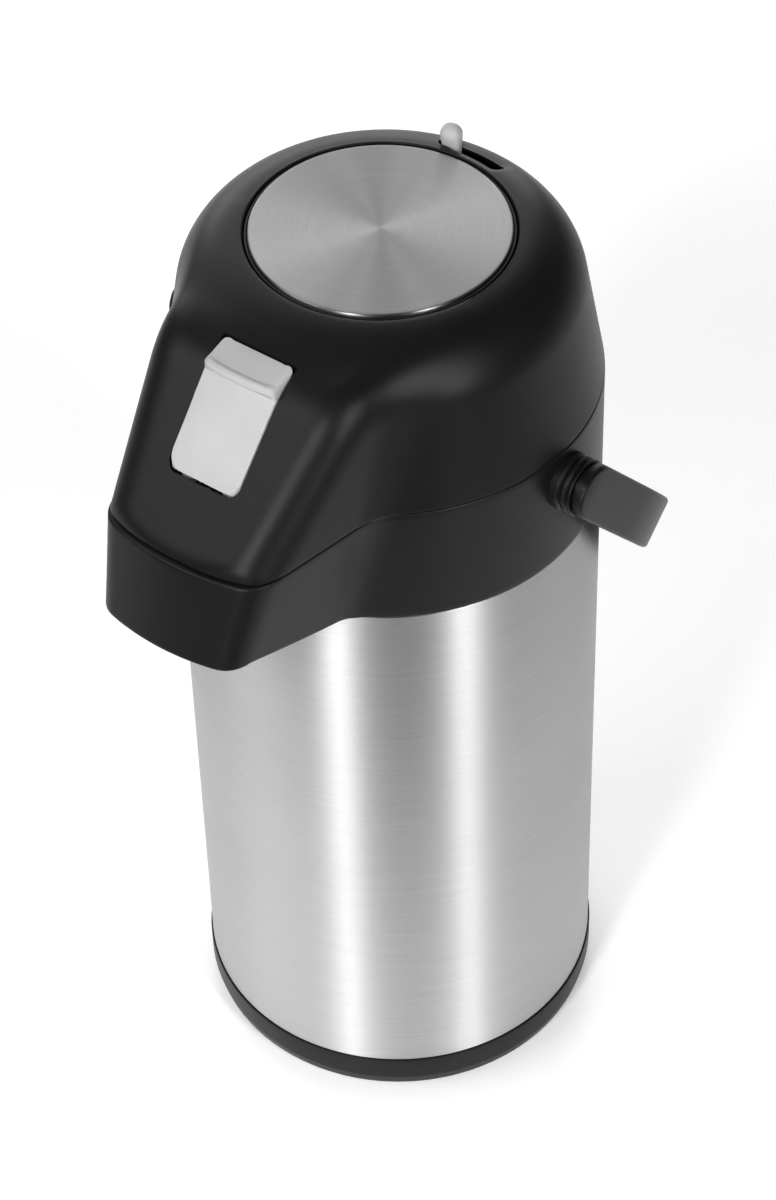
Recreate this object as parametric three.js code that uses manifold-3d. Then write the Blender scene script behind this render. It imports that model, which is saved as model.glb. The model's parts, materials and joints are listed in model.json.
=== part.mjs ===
// Push-button airpot: a vacuum flask in a steel casing, with a pump lid, a beak with a
// pouring tube, and a bail handle. Millimetres, +Z up, the beak towards -Y, the handle's
// pivots on the X axis. The origin is the centre of the bottom face.
import * as THREE from 'three'
import { mergeVertices } from 'three/addons/utils/BufferGeometryUtils.js'
import Module from 'manifold-3d'

const wasm = await Module()
wasm.setup()

// ---- Driving dimensions ----
const GAP = 0.3              // clearance left between neighbouring pieces
const CASING_R = 80          // steel casing, outside
const CASING_WALL = 0.6
const BASE_TOP = 17.8        // top of the black base ring
const BASE_R = 80.7
const CASING_TOP = 278.7
const SEAM = 330             // where the lid meets the collar
const LID_FOOT = SEAM + GAP
const LID_TOP = 393
const SHELL_R = 80.5         // collar and lid at the seam, outside
const WALL = 2.6             // moulded walls

const SHOULDER_R = 27        // radius of the lid's rounded shoulder
const SHOULDER_CENTRE = [47, LID_TOP - SHOULDER_R]
const BUTTON_HOLE_R = 48.8
const DISC_R = 47

const SLOPE_TOP = [-82, 378.5]      // y, z of a point high on the hood's slope
const SLOPE = 1.1                   // rise of the slope for each millimetre back
const CROWN = 387                   // level part of the hood behind the slope
const BEAK_ROOT = [45.2, -69]        // half-width and y where the beak leaves the body
const BEAK_TIP = [33.2, -128]        // half-width and y at the beak's front corners
const BEAK_FRONT_R = 100            // plan radius of the beak's front face
const BEAK_FRONT_Y = -124.9
const BEAK_PROUD = 1.4              // how far the collar's front stands out past the lid
const BEAK_LEAN = 14                // forward lean of the beak's front over the collar's height
const BEAK_ROOT_DRAFT = 8.7         // inward draft of the sides over the collar's height
const BEAK_TIP_DRAFT = 3.5
const BEAK_UNDER = [[-71.7, CASING_TOP], [-122.6, 295.5]]   // y, z of the beak's lower edge

const PIVOT_Z = 315                 // handle pivot height
const HANDLE_REST = 49              // degrees below level, to the rear
const HANDLE_R = 94                 // bail half-width, outside
const HANDLE_ARM = 40               // straight part of each arm
const HANDLE_REACH = 148            // pivot to the far side of the bend
const HANDLE_THICK = 5
const HANDLE_BAND = 21
const BOSS_R = 11
const PIVOT_PIN_R = 4

const PLUG_R = 26.5
const NECK_R = 29
const FLASK_R = 69
const DIP_R = 6.2
const DIP_BORE = 4.8
const POUR_R = 5
const POUR_Z = 314
const NOZZLE_Y = -110

const HINGE = [84.8, 333.2]         // y, z of the lid hinge
const LATCH_PIVOT = [-100, 347.8]   // y, z of the latch pin
const LOCK_R = 55                   // radius of the lock knob's slot
const LOCK_REST = 8.3               // degrees from the rear centre line, towards -X
const LOCK_TRAVEL = 19
const LOCK_HALF = 3.9               // degrees from the knob's middle to its side
const LOCK_PLAY = 0.5               // degrees left at each end of its slot

const FLASK_WALL = 0.8

const ROUND = 40                    // sides of the large round pieces
const INNER = 20                    // sides of the hidden round pieces
const SMALL = 16                    // sides of the small ones

// ---- Materials ----
const finish = (color, roughness, metalness = 0) =>
  new THREE.MeshStandardMaterial({ color, roughness, metalness })
const blackPlastic = finish(0x1b1b1c, 0.45)
const innerPlastic = finish(0x2a2a2b, 0.55)
const paleGrey = finish(0xb9babb, 0.42)
const casingSteel = finish(0xb4b5b6, 0.32, 1)
const discSteel = finish(0xc4c5c6, 0.28, 1)
const pinSteel = finish(0x9a9b9d, 0.3, 1)
const rubber = finish(0x161616, 0.85)
const silicone = finish(0xd8d8d4, 0.6)
const linerSteel = finish(0xbcbdbe, 0.35, 1)
const clearPlastic = finish(0xe6e6e2, 0.35)

const airpot = new THREE.Group()

// ---- Solid helpers ----
function signedVolume(position, index) {
  const a = new THREE.Vector3()
  const b = new THREE.Vector3()
  const c = new THREE.Vector3()
  let volume = 0
  for (let i = 0; i < index.length; i += 3) {
    a.fromBufferAttribute(position, index[i])
    b.fromBufferAttribute(position, index[i + 1])
    c.fromBufferAttribute(position, index[i + 2])
    volume += a.dot(b.cross(c))
  }
  return volume
}

// One closed mesh with shared corners, no collapsed triangles, and its faces pointing out.
function closed(geometry) {
  const bare = geometry.clone()
  bare.deleteAttribute('normal')
  bare.deleteAttribute('uv')
  const merged = mergeVertices(bare, 1e-3)
  const source = merged.index.array
  const index = []
  for (let i = 0; i < source.length; i += 3) {
    const [a, b, c] = [source[i], source[i + 1], source[i + 2]]
    if (a !== b && b !== c && c !== a) index.push(a, b, c)
  }
  if (signedVolume(merged.attributes.position, index) < 0) index.reverse()
  merged.setIndex(index)
  return merged
}

function toManifold(geometry) {
  const solid = closed(geometry)
  return new wasm.Manifold(new wasm.Mesh({
    numProp: 3,
    vertProperties: new Float32Array(solid.attributes.position.array),
    triVerts: new Uint32Array(solid.index.array),
  }))
}

function fromManifold(manifold) {
  const mesh = manifold.getMesh()
  const geometry = new THREE.BufferGeometry()
  geometry.setAttribute('position', new THREE.BufferAttribute(mesh.vertProperties, 3))
  geometry.setIndex(new THREE.BufferAttribute(mesh.triVerts, 1))
  return geometry
}

const join = (...pieces) => fromManifold(pieces.map(toManifold).reduce((sum, piece) => sum.add(piece)))
const cut = (piece, ...tools) =>
  fromManifold(tools.map(toManifold).reduce((rest, tool) => rest.subtract(tool), toManifold(piece)))
const common = (one, other) => fromManifold(toManifold(one).intersect(toManifold(other)))

// A ring or disc turned about Z. The outline lists radius and height, and closes on itself.
function turned(outline, sides = ROUND) {
  const points = [...outline, outline[0]].map(([r, z]) => new THREE.Vector2(r, z))
  return closed(new THREE.LatheGeometry(points, sides).rotateX(Math.PI / 2))
}

// A flat outline in X and Y, raised from z0 to z1.
function slab(outline, z0, z1, holes = []) {
  const shape = new THREE.Shape(outline.map(([x, y]) => new THREE.Vector2(x, y)))
  shape.holes = holes.map(hole => new THREE.Path(hole.map(([x, y]) => new THREE.Vector2(x, y))))
  const options = { depth: z1 - z0, bevelEnabled: false, curveSegments: 1 }
  return closed(new THREE.ExtrudeGeometry(shape, options).translate(0, 0, z0))
}

// A side outline in Y and Z, carried along X from x0 to x1.
function sideways(outline, x0, x1) {
  const turn = new THREE.Matrix4().set(0, 0, 1, 0, 1, 0, 0, 0, 0, 1, 0, 0, 0, 0, 0, 1)
  return closed(slab(outline, x0, x1).applyMatrix4(turn))
}

function block(x0, x1, y0, y1, z0, z1) {
  const box = new THREE.BoxGeometry(x1 - x0, y1 - y0, z1 - z0)
  return closed(box.translate((x0 + x1) / 2, (y0 + y1) / 2, (z0 + z1) / 2))
}

const rod = (x, y, z0, z1, r, sides = SMALL) =>
  closed(new THREE.CylinderGeometry(r, r, z1 - z0, sides).rotateX(Math.PI / 2).translate(x, y, (z0 + z1) / 2))
const crossRod = (x0, x1, y, z, r, sides = SMALL) =>
  closed(new THREE.CylinderGeometry(r, r, x1 - x0, sides).rotateZ(Math.PI / 2).translate((x0 + x1) / 2, y, z))

// A wire of round section along a curve.
function wire(curve, r, steps, sides = 6) {
  const ring = arc(0, 0, r, 0, 360 - 360 / sides, sides - 1)
  const section = new THREE.Shape(ring.map(([x, y]) => new THREE.Vector2(x, y)))
  const options = { steps, extrudePath: curve, bevelEnabled: false, curveSegments: 1 }
  return closed(new THREE.ExtrudeGeometry(section, options))
}

// Points on an arc, in degrees, both ends included.
function arc(cx, cy, r, from, to, steps) {
  const points = []
  for (let i = 0; i <= steps; i++) {
    const angle = THREE.MathUtils.degToRad(from + (to - from) * i / steps)
    points.push([cx + r * Math.cos(angle), cy + r * Math.sin(angle)])
  }
  return points
}

// Closed loops of points, one for each direction round the axis, skinned into one ring.
function skinned(loops) {
  const count = loops[0].length
  const index = []
  for (let i = 0; i < loops.length; i++) {
    const next = (i + 1) % loops.length
    for (let j = 0; j < count; j++) {
      const up = (j + 1) % count
      const corners = [i * count + j, next * count + j, next * count + up, i * count + up]
      index.push(corners[0], corners[1], corners[2], corners[0], corners[2], corners[3])
    }
  }
  const geometry = new THREE.BufferGeometry()
  geometry.setAttribute('position', new THREE.Float32BufferAttribute(loops.flat(2), 3))
  geometry.setIndex(index)
  return closed(geometry)
}

function add(name, geometry, material) {
  const mesh = new THREE.Mesh(geometry, material)
  mesh.name = name
  airpot.add(mesh)
  return mesh
}

// ---- The moulded outer form: a dome with a hood and a beak ----
// Each field is negative inside the form and about a distance in millimetres near its surface.
const DIRECTIONS = mouldedDirections(14, 28)

// Directions round the axis, closer together over the beak, which points to 0 degrees.
function mouldedDirections(frontHalf, rear) {
  const spread = 45
  const angles = []
  for (let i = -frontHalf; i < frontHalf; i++) angles.push(spread * i / frontHalf)
  for (let i = 0; i < rear; i++) angles.push(spread + (360 - 2 * spread) * i / rear)
  return angles.map(THREE.MathUtils.degToRad)
}

function softMax(a, b, blend) {
  const h = Math.max(blend - Math.abs(a - b), 0) / blend
  return Math.max(a, b) + h * h * blend / 4
}

const softMin = (a, b, blend) => -softMax(-a, -b, blend)

function domeField(x, y, z) {
  const [cr, cz] = SHOULDER_CENTRE
  const r = Math.hypot(x, y)
  if (r < cr) return z - LID_TOP
  // The wall leaves the shoulder as a tangent and reaches SHELL_R at the seam.
  const reach = Math.hypot(SHELL_R - cr, cz - SEAM)
  const lean = Math.acos(SHOULDER_R / reach) - Math.atan2(cz - SEAM, SHELL_R - cr)
  const along = Math.atan2(z - cz, r - cr)
  if (along > lean) return Math.hypot(r - cr, z - cz) - SHOULDER_R
  return (r - SHELL_R) * Math.cos(lean) + (z - SEAM) * Math.sin(lean)
}

// Plan section of the beak. fall is 0 at the seam and 1 at the collar's lower edge.
function beakPlan(x, y, fall, proud) {
  const root = BEAK_ROOT[0] - BEAK_ROOT_DRAFT * fall
  const tip = BEAK_TIP[0] - BEAK_TIP_DRAFT * fall
  const run = BEAK_ROOT[1] - BEAK_TIP[1]
  const length = Math.hypot(root - tip, run)
  const side = ((Math.abs(x) - root) * run - (y - BEAK_ROOT[1]) * (root - tip)) / length
  const centre = BEAK_FRONT_Y + BEAK_FRONT_R - BEAK_LEAN * fall - proud
  const front = Math.hypot(x, y - centre) - BEAK_FRONT_R
  return { side, front }
}

function lidField(x, y, z) {
  const slope = (z - SLOPE_TOP[1] - SLOPE * (y - SLOPE_TOP[0])) / Math.hypot(1, SLOPE)
  const top = softMax(slope, z - CROWN, 10)
  const { side, front } = beakPlan(x, y, 0, 0)
  const hood = softMax(softMax(side, top, 15), front, 2.5)
  const behind = softMax(hood, y + 20, 4)
  return softMin(domeField(x, y, z), behind, 8)
}

function collarField(x, y, z) {
  const fall = (SEAM - z) / (SEAM - CASING_TOP)
  const { side, front } = beakPlan(x, y, fall, BEAK_PROUD)
  const beak = softMax(softMax(side, front, 7.5), y + 20, 4)
  return softMin(Math.hypot(x, y) - SHELL_R, beak, 6)
}

// How far from a point on the axis the form reaches, along one direction.
function reachOf(field, direction, centreZ, level) {
  let near = 20
  let far = 170
  for (let i = 0; i < 40; i++) {
    const middle = (near + far) / 2
    const point = direction.map(value => value * middle)
    if (field(point[0], point[1], centreZ + point[2]) < level) near = middle
    else far = middle
  }
  return near
}

function lidPoint(angle, rise, level) {
  const direction = [Math.sin(angle) * Math.cos(rise), -Math.cos(angle) * Math.cos(rise), Math.sin(rise)]
  const reach = reachOf(lidField, direction, LID_FOOT, level)
  return [direction[0] * reach, direction[1] * reach, LID_FOOT + direction[2] * reach]
}

function collarPoint(angle, z, level) {
  const direction = [Math.sin(angle), -Math.cos(angle), 0]
  const reach = reachOf(collarField, direction, z, level)
  return [direction[0] * reach, direction[1] * reach, z]
}

// Height of the collar's lower edge: level round the body, and rising out to the beak's tip.
function collarBottom(angle, level) {
  const [[rootY, rootZ], [tipY, tipZ]] = BEAK_UNDER
  let z = CASING_TOP
  for (let i = 0; i < 6; i++) {
    const y = collarPoint(angle, z, level)[1]
    const along = THREE.MathUtils.clamp((rootY - y) / (rootY - tipY), 0, 1)
    z = rootZ + (tipZ - rootZ) * along
  }
  return z
}

function lidShellForm() {
  const rows = 11
  const insideRows = 7
  const topRise = level => Math.atan2(LID_TOP + level - LID_FOOT, BUTTON_HOLE_R)
  const loops = DIRECTIONS.map(angle => {
    const loop = []
    for (let j = 0; j <= rows; j++) loop.push(lidPoint(angle, topRise(0) * j / rows, 0))
    for (let j = insideRows; j >= 0; j--) loop.push(lidPoint(angle, topRise(-WALL) * j / insideRows, -WALL))
    return loop
  })
  return skinned(loops)
}

// A point on the hood's slope, down it by s from its top and out of it by n.
function onSlope(s, n) {
  const length = Math.hypot(1, SLOPE)
  const y = SLOPE_TOP[0] - s / length - n * SLOPE / length
  const z = SLOPE_TOP[1] - s * SLOPE / length + n / length
  return [y, z]
}

function collarForm() {
  const rows = 4
  const loops = DIRECTIONS.map(angle => {
    const loop = []
    const outer = collarBottom(angle, 0)
    const inner = collarBottom(angle, -WALL)
    for (let j = 0; j <= rows; j++) loop.push(collarPoint(angle, outer + (SEAM - outer) * j / rows, 0))
    for (let j = rows; j >= 0; j -= 2) loop.push(collarPoint(angle, inner + (SEAM - inner) * j / rows, -WALL))
    return loop
  })
  return skinned(loops)
}

// ---- Base ----
const SCREW_CIRCLE = 67
const screwPlaces = [90, 210, 330].map(THREE.MathUtils.degToRad)
  .map(angle => [SCREW_CIRCLE * Math.cos(angle), SCREW_CIRCLE * Math.sin(angle)])

function addBase() {
  add('foot_pad', rod(0, 0, 0, 2, 60, ROUND), rubber)
  const plateHoles = screwPlaces.map(([x, y]) => arc(x, y, 2.1, 0, 330, 11))
  add('base_plate', slab(arc(0, 0, 74, 0, 360 - 360 / ROUND, ROUND - 1), 2.3, 5, plateHoles), innerPlastic)
  const ring = turned([
    [56, 5.3], [74.4, 5.3], [74.4, 0.4], [78.6, 0.4], [80, 3], [BASE_R, 7], [BASE_R, BASE_TOP],
    [78.8, BASE_TOP],
    [78.8, 25], [76.6, 25], [76.6, 8], [56, 8],
  ])
  add('base_ring', cut(ring, ...screwPlaces.map(([x, y]) => rod(x, y, 4, 10, 2.1, 12))), blackPlastic)
  screwPlaces.forEach(([x, y], i) => {
    const screw = turned([[0, 1], [3, 1], [3.6, 1.4], [3.6, 2], [1.7, 2], [1.7, 11], [0, 12]], 12)
    add(`base_screw_${i + 1}`, screw.translate(x, y, 0), pinSteel)
  })
  add('flask_cushion', turned([
    [34, 5.3], [55.5, 5.3], [55.5, 33.6], [50, 30.3], [45, 28.2], [40, 26.7], [34, 25.6],
  ], INNER), rubber)
}

// ---- Casing and flask ----
function flaskWall(r, bottom, knee, shoulderZ, neckR, top) {
  const corner = r - knee
  const steps = 3
  const outside = [
    [0, bottom],
    ...arc(knee, bottom + corner, corner, -90, 0, steps),
    ...arc(r - 22, shoulderZ, 22, 0, 62, 2),
    [neckR + 5, shoulderZ + 33],
    [neckR, shoulderZ + 37],
    [neckR, top],
  ]
  const inside = [
    [neckR - FLASK_WALL, top],
    [neckR - FLASK_WALL, shoulderZ + 36.6],
    [neckR + 4.4, shoulderZ + 32.5],
    ...arc(r - 22, shoulderZ, 22 - FLASK_WALL, 62, 0, 2),
    ...arc(knee, bottom + corner, corner - FLASK_WALL, 0, -90, steps),
    [0, bottom + FLASK_WALL],
  ]
  return turned([...outside, ...inside], INNER)
}

function addBodyPieces() {
  const wall = CASING_R - CASING_WALL
  const foot = BASE_TOP + GAP
  const top = CASING_TOP - GAP
  add('body_shell', turned([[wall, foot], [CASING_R, foot], [CASING_R, top], [wall, top]], 60), casingSteel)
  add('flask_outer', flaskWall(74, 26, 30, 235, 34, 296), linerSteel)
  add('flask_inner', flaskWall(FLASK_R, 32, 28, 234, NECK_R, 297), linerSteel)
  add('neck_gasket', turned([[28, 297.3], [34, 297.3], [34, 299.7], [28, 299.7]], INNER), silicone)
  add('shoulder_deck', turned([
    [36, 300], [75.2, 300], [75.2, 268], [77.2, 268], [77.2, 303], [36, 303],
  ], 36), innerPlastic)
}

// ---- Collar with the handle's pivots ----
function addCollar() {
  const pinHoles = [-1, 1].map(side => crossRod(side * 70, side * 84, 0, PIVOT_Z, PIVOT_PIN_R + GAP, 16))
  add('collar', cut(collarForm(), ...pinHoles), blackPlastic)
  add('latch_catch', block(-15, 15, -123.4, -108.2, 322, 325), innerPlastic)
}

function addPivot(side, label) {
  const bossOutline = [
    [PIVOT_PIN_R + GAP, 77], [BOSS_R, 77], [BOSS_R, 83.4], [BOSS_R - 1.3, 84.2], [BOSS_R, 85],
    [BOSS_R, 86.2], [BOSS_R - 1.3, 87], [BOSS_R, 87.8], [BOSS_R, 88.7], [PIVOT_PIN_R + GAP, 88.7],
  ]
  const towardsSide = solid => solid.rotateY(side * Math.PI / 2).translate(0, 0, PIVOT_Z)
  const bossSolid = towardsSide(turned(bossOutline, SMALL))
  const body = rod(0, 0, 250, 360, SHELL_R + GAP, ROUND)
  add(`pivot_boss_${label}`, cut(bossSolid, body), blackPlastic)
  const pinOutline = [[0, 71.5], [7, 71.5], [7, 73], [PIVOT_PIN_R, 73], [PIVOT_PIN_R, 92.2], [0, 92.2]]
  add(`pivot_pin_${label}`, towardsSide(turned(pinOutline, 16)), pinSteel)
  const washerOutline = [[4.4, 73.3], [7.5, 73.3], [7.5, 74.6], [4.4, 74.6]]
  add(`pivot_washer_${label}`, towardsSide(turned(washerOutline, 16)), pinSteel)
}

// Half an ellipse round the bail's bend, from the right arm to the left.
function bend(halfWidth, reach, steps) {
  const unit = arc(0, 0, 1, 0, 180, steps)
  return unit.map(([x, y]) => [halfWidth * x, HANDLE_ARM + (reach - HANDLE_ARM) * y])
}

// The bail: a flat band bent into a U, modelled lying along +Y and then turned down.
function addHandle() {
  const inner = HANDLE_R - HANDLE_THICK
  const half = HANDLE_BAND / 2
  const outline = [
    [HANDLE_R, -half], ...bend(HANDLE_R, HANDLE_REACH, 24), [-HANDLE_R, -half],
    [-inner, -half], ...bend(inner, HANDLE_REACH - HANDLE_THICK, 24).reverse(), [inner, -half],
  ]
  const band = slab(outline, -half, half)
  const end = HANDLE_REACH + 1
  const sideView = [[end, -half], [end, half], ...arc(0, 0, half, 90, 270, 10)]
  const eyeEnd = HANDLE_R - 1.4
  const eyes = crossRod(-eyeEnd, eyeEnd, 0, 0, PIVOT_PIN_R + GAP, 16)
  const bail = cut(common(band, sideways(sideView, -HANDLE_R - 1, HANDLE_R + 1)), eyes)
  add('handle', bail.rotateX(-THREE.MathUtils.degToRad(HANDLE_REST)).translate(0, 0, PIVOT_Z), blackPlastic)
}

// ---- Stopper, dip tube and pouring tube ----
function addPouringPieces() {
  const plug = turned([
    [0, 272], [PLUG_R - 1, 272], [PLUG_R, 276], [PLUG_R, 303.3], [44, 303.3], [44, 307], [34, 308], [34, 324],
    [0, 324],
  ], INNER)
  const bore = rod(0, 0, 270, POUR_Z + 5, DIP_R + GAP)
  const outlet = crossRod(0, 40, 0, POUR_Z, POUR_R + GAP).rotateZ(-Math.PI / 2)
  const airHole = rod(0, 17, 270, 326, 3, 12)
  add('stopper', cut(plug, bore, outlet, airHole), innerPlastic)
  add('dip_tube', turned([[DIP_BORE, 38], [DIP_R, 38], [DIP_R, 307.5], [DIP_BORE, 307.5]], 16), clearPlastic)
  add('valve_seat', turned([[2.8, 284], [4.5, 284], [4.5, 287], [2.8, 287]], 16), silicone)
  const ball = new THREE.SphereGeometry(4, 12, 8).translate(0, 0, 290.4)
  add('valve_ball', closed(ball), pinSteel)
  add('valve_stop', turned([[2.8, 301.5], [4.5, 301.5], [4.5, 303.5], [2.8, 303.5]], 16), innerPlastic)
  addPouringTube()
}

function addPouringTube() {
  const bend = 9
  const path = new THREE.CurvePath()
  const corner = new THREE.Vector3(0, NOZZLE_Y, POUR_Z)
  const bendStart = new THREE.Vector3(0, NOZZLE_Y + bend, POUR_Z)
  const bendEnd = new THREE.Vector3(0, NOZZLE_Y, POUR_Z - bend)
  path.add(new THREE.LineCurve3(new THREE.Vector3(0, -8, POUR_Z), bendStart))
  path.add(new THREE.QuadraticBezierCurve3(bendStart, corner, bendEnd))
  path.add(new THREE.LineCurve3(bendEnd, new THREE.Vector3(0, NOZZLE_Y, 293.5)))
  const ring = r => arc(0, 0, r, 0, 315, 7).map(([x, y]) => new THREE.Vector2(x, y))
  const section = new THREE.Shape(ring(POUR_R))
  section.holes.push(new THREE.Path(ring(POUR_R - 1.3)))
  const options = { steps: 16, extrudePath: path, bevelEnabled: false, curveSegments: 1 }
  add('pour_tube', closed(new THREE.ExtrudeGeometry(section, options)), clearPlastic)
  const nozzle = turned([[5.4, 289], [7, 289], [8.2, 292.5], [8.2, 300], [5.4, 300]], 20)
  add('nozzle', nozzle.translate(0, NOZZLE_Y, 0), innerPlastic)
}

// ---- Lid ----
// Plan of the latch's plate or of its window: a tongue with rounded lower corners. The
// corner's radius is measured along the slope.
function latchPlan(topHalf, half, corner, lowest) {
  const squash = 1 / Math.hypot(1, SLOPE)
  const lower = arc(0, 0, corner, 180, 360, 10).map(([x, y]) => [x, lowest + squash * (corner + y)])
  const side = half - corner
  const left = lower.slice(0, 6).map(([x, y]) => [x - side, y])
  const right = lower.slice(5).map(([x, y]) => [x + side, y])
  return [[-topHalf, -60], ...left, ...right, [topHalf, -60]]
}

function addLidShell() {
  const windowSide = [onSlope(-6, 8), onSlope(36.5, 8), onSlope(36.5, -8), onSlope(-6, -8)]
  const latchWindow = common(sideways(windowSide, -17, 17), slab(latchPlan(16.2, 15.4, 6.4, -107), 330, 400))
  const lipSide = [[-85.5, 395], onSlope(4.5, -8), [-69.3, 375], [-69.3, 395]]
  const lipNotch = sideways(lipSide, -15.9, 15.9)
  const slotTo = 90 + LOCK_REST + LOCK_HALF + LOCK_PLAY
  const slotFrom = 90 + LOCK_REST - LOCK_TRAVEL - LOCK_HALF - LOCK_PLAY
  const slotOutline = [
    ...arc(0, 0, LOCK_R + 2.8, slotFrom, slotTo, 6),
    ...arc(0, 0, LOCK_R - 2.8, slotTo, slotFrom, 6),
  ]
  add('lid_shell', cut(lidShellForm(), latchWindow, lipNotch, slab(slotOutline, 380, 400)), blackPlastic)
}

function addLidPlate() {
  const z0 = LID_FOOT + 0.3
  const z1 = z0 + 2.6
  const outline = DIRECTIONS.map(angle => {
    const direction = [Math.sin(angle), -Math.cos(angle), 0]
    const reach = reachOf(lidField, direction, z1, -WALL - 1.2)
    return [direction[0] * reach, direction[1] * reach]
  })
  const hookWindow = [[-11.6, -110], [11.6, -110], [11.6, -98.5], [-11.6, -98.5]]
  const bellowsHole = arc(0, 0, 24, 0, 350, 35)
  add('lid_base_plate', slab(outline, z0, z1, [hookWindow, bellowsHole]), innerPlastic)
  add('lid_seal', turned([[23, 324.4], [32, 324.4], [33, 326], [33, 330.2], [23, 330.2]], INNER), silicone)
}

function addPump() {
  const rim = DISC_R + 1.3
  add('pump_button', turned([
    [0, 389.4], [45.8, 389.4], [45.8, 362], [rim, 362], [rim, 392.4], [DISC_R + 0.4, 392.4],
    [DISC_R + 0.4, 391.5], [0, 391.5],
  ]), blackPlastic)
  add('button_disc', turned([
    [0, 391.8], [DISC_R - 0.2, 391.8], [DISC_R, 392.2], [DISC_R, 392.9], [DISC_R - 0.6, 393.4], [0, 393.4],
  ]), discSteel)
  add('bellows_plate', turned([[5, 385.8], [42, 385.8], [42, 389.1], [5, 389.1]], INNER), innerPlastic)
  add('air_flap', turned([[0, 384], [8, 384], [8, 385.5], [0, 385.5]], SMALL), rubber)
  addBellows()
  const turns = 5
  const helix = new THREE.Curve()
  helix.getPoint = t => {
    const angle = t * turns * 2 * Math.PI
    return new THREE.Vector3(19 * Math.cos(angle), 19 * Math.sin(angle), 335 + 49 * t)
  }
  add('return_spring', wire(helix, 1.1, turns * 12, 5), pinSteel)
  add('guide_sleeve', turned([[49, 345], [50.6, 345], [50.6, 382.6], [49, 382.6]], ROUND), innerPlastic)
}

// A concertina of rubber, the same thickness all the way, open at both ends.
function addBellows() {
  const [low, high] = [333.8, 385.4]
  const folds = 5
  const crest = 40
  const valley = 32
  const wall = 1
  const outside = []
  for (let i = 0; i <= folds * 2; i++) {
    outside.push([i % 2 ? crest : valley, low + (high - low) * i / (folds * 2)])
  }
  const inside = outside.map(([r, z]) => [r - wall, z]).reverse()
  add('bellows', turned([...outside, ...inside], 20), rubber)
}

function addLock() {
  add('lock_ring', turned([[48.9, 383.2], [57, 383.2], [57, 386], [48.9, 386]], ROUND), innerPlastic)
  const [z0, z1] = [386.3, 397.2]
  const stem = slab([
    ...arc(0, 0, LOCK_R + 2.3, 90 - LOCK_HALF, 90 + LOCK_HALF, 3),
    ...arc(0, 0, LOCK_R - 2.3, 90 + LOCK_HALF, 90 - LOCK_HALF, 3),
  ], z0, z1)
  const top = closed(new THREE.SphereGeometry(4.1, 12, 6).scale(1, 0.9, 0.85).translate(0, LOCK_R, z1))
  const knob = join(stem, top).rotateZ(THREE.MathUtils.degToRad(LOCK_REST))
  add('lock_knob', knob, paleGrey)
}

// ---- Latch on the hood ----
function latchLever() {
  const plateSide = [onSlope(-1.5, -1.4), onSlope(35.3, -1.4), onSlope(35.3, 0.7), onSlope(-1.5, 0.9)]
  const plate = common(sideways(plateSide, -16, 16), slab(latchPlan(15.8, 15, 6, -106.1), 340, 395))
  const lipSide = [[-70, 386.8], [-83.8, 384.6], [-84.4, 383], [-82.6, 379.2], [-80.6, 378], [-70, 381.6]]
  const lip = sideways(lipSide, -14.9, 14.9)
  const armSide = [
    onSlope(8, 0), onSlope(31, 0), onSlope(32.8, -2.6), [-106.5, 336], [-106.8, 322], [-107.3, 320],
    [-106.8, 318], [-104, 317], [-103, 335], [-95.8, 344], [-95.8, 351], [-84.5, 368.5],
  ]
  const arms = [sideways(armSide, -11, -7), sideways(armSide, 7, 11)]
  const pinHole = crossRod(-20, 20, ...LATCH_PIVOT, 1.8, 14)
  return cut(join(plate, lip, ...arms), pinHole)
}

function addLatch() {
  const [pinY, pinZ] = LATCH_PIVOT
  add('latch', latchLever(), paleGrey)
  add('latch_pin', crossRod(-14.5, 14.5, pinY, pinZ, 1.5, 14), pinSteel)
  const lugSide = [[-105, 333.7], [-95, 333.7], [-95, 354], [-99, 352.6], [-105, 346.6]]
  for (const [label, x0] of [['left', -14.5], ['right', 12]]) {
    const lug = cut(sideways(lugSide, x0, x0 + 2.5), crossRod(-20, 20, pinY, pinZ, 1.7, 14))
    add(`latch_lug_${label}`, lug, innerPlastic)
  }
  const turns = 4
  const coil = new THREE.Curve()
  coil.getPoint = t => {
    const angle = t * turns * 2 * Math.PI
    return new THREE.Vector3(-5.5 + 11 * t, pinY + 2.9 * Math.cos(angle), pinZ + 2.9 * Math.sin(angle))
  }
  add('latch_spring', wire(coil, 0.5, turns * 8, 4), pinSteel)
}

// ---- Hinge at the rear ----
function addHinge() {
  const [pinY, pinZ] = HINGE
  const knuckle = (x0, x1) => crossRod(x0, x1, pinY, pinZ, 4, 20)
  const bore = crossRod(-30, 30, pinY, pinZ, 2.1, 16)
  const lidLeafSide = [[80.9, 333.4], [pinY, 331], [88, 335], [84.6, 344], [80.8, 348], [79, 347.4]]
  const lidLeaf = sideways(lidLeafSide, -9.5, 9.5)
  add('hinge_leaf_lid', cut(join(knuckle(-9.5, 9.5), lidLeaf), bore), blackPlastic)
  const bodyLeaf = block(-19, 19, 80.9, 84, 311, 328)
  const ears = [[-19, -10], [10, 19]].map(([x0, x1]) =>
    sideways([[80.9, 320], [84, 318], [88.6, 331], [88, 334], [82, 334], [80.9, 331]], x0, x1))
  const knuckles = [knuckle(-19, -10), knuckle(10, 19)]
  add('hinge_leaf_body', cut(join(bodyLeaf, ...ears, ...knuckles), bore), blackPlastic)
  add('hinge_pin', crossRod(-20, 20, pinY, pinZ, 1.8, 16), pinSteel)
}

addBase()
addBodyPieces()
addCollar()
addPivot(-1, 'left')
addPivot(1, 'right')
addHandle()
addPouringPieces()
addLidShell()
addLidPlate()
addPump()
addLock()
addLatch()
addHinge()

export default airpot
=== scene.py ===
"""The airpot's looks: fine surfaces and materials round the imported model. Lengths are in millimetres
until they reach Blender, which takes metres."""
import json
import math

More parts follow.
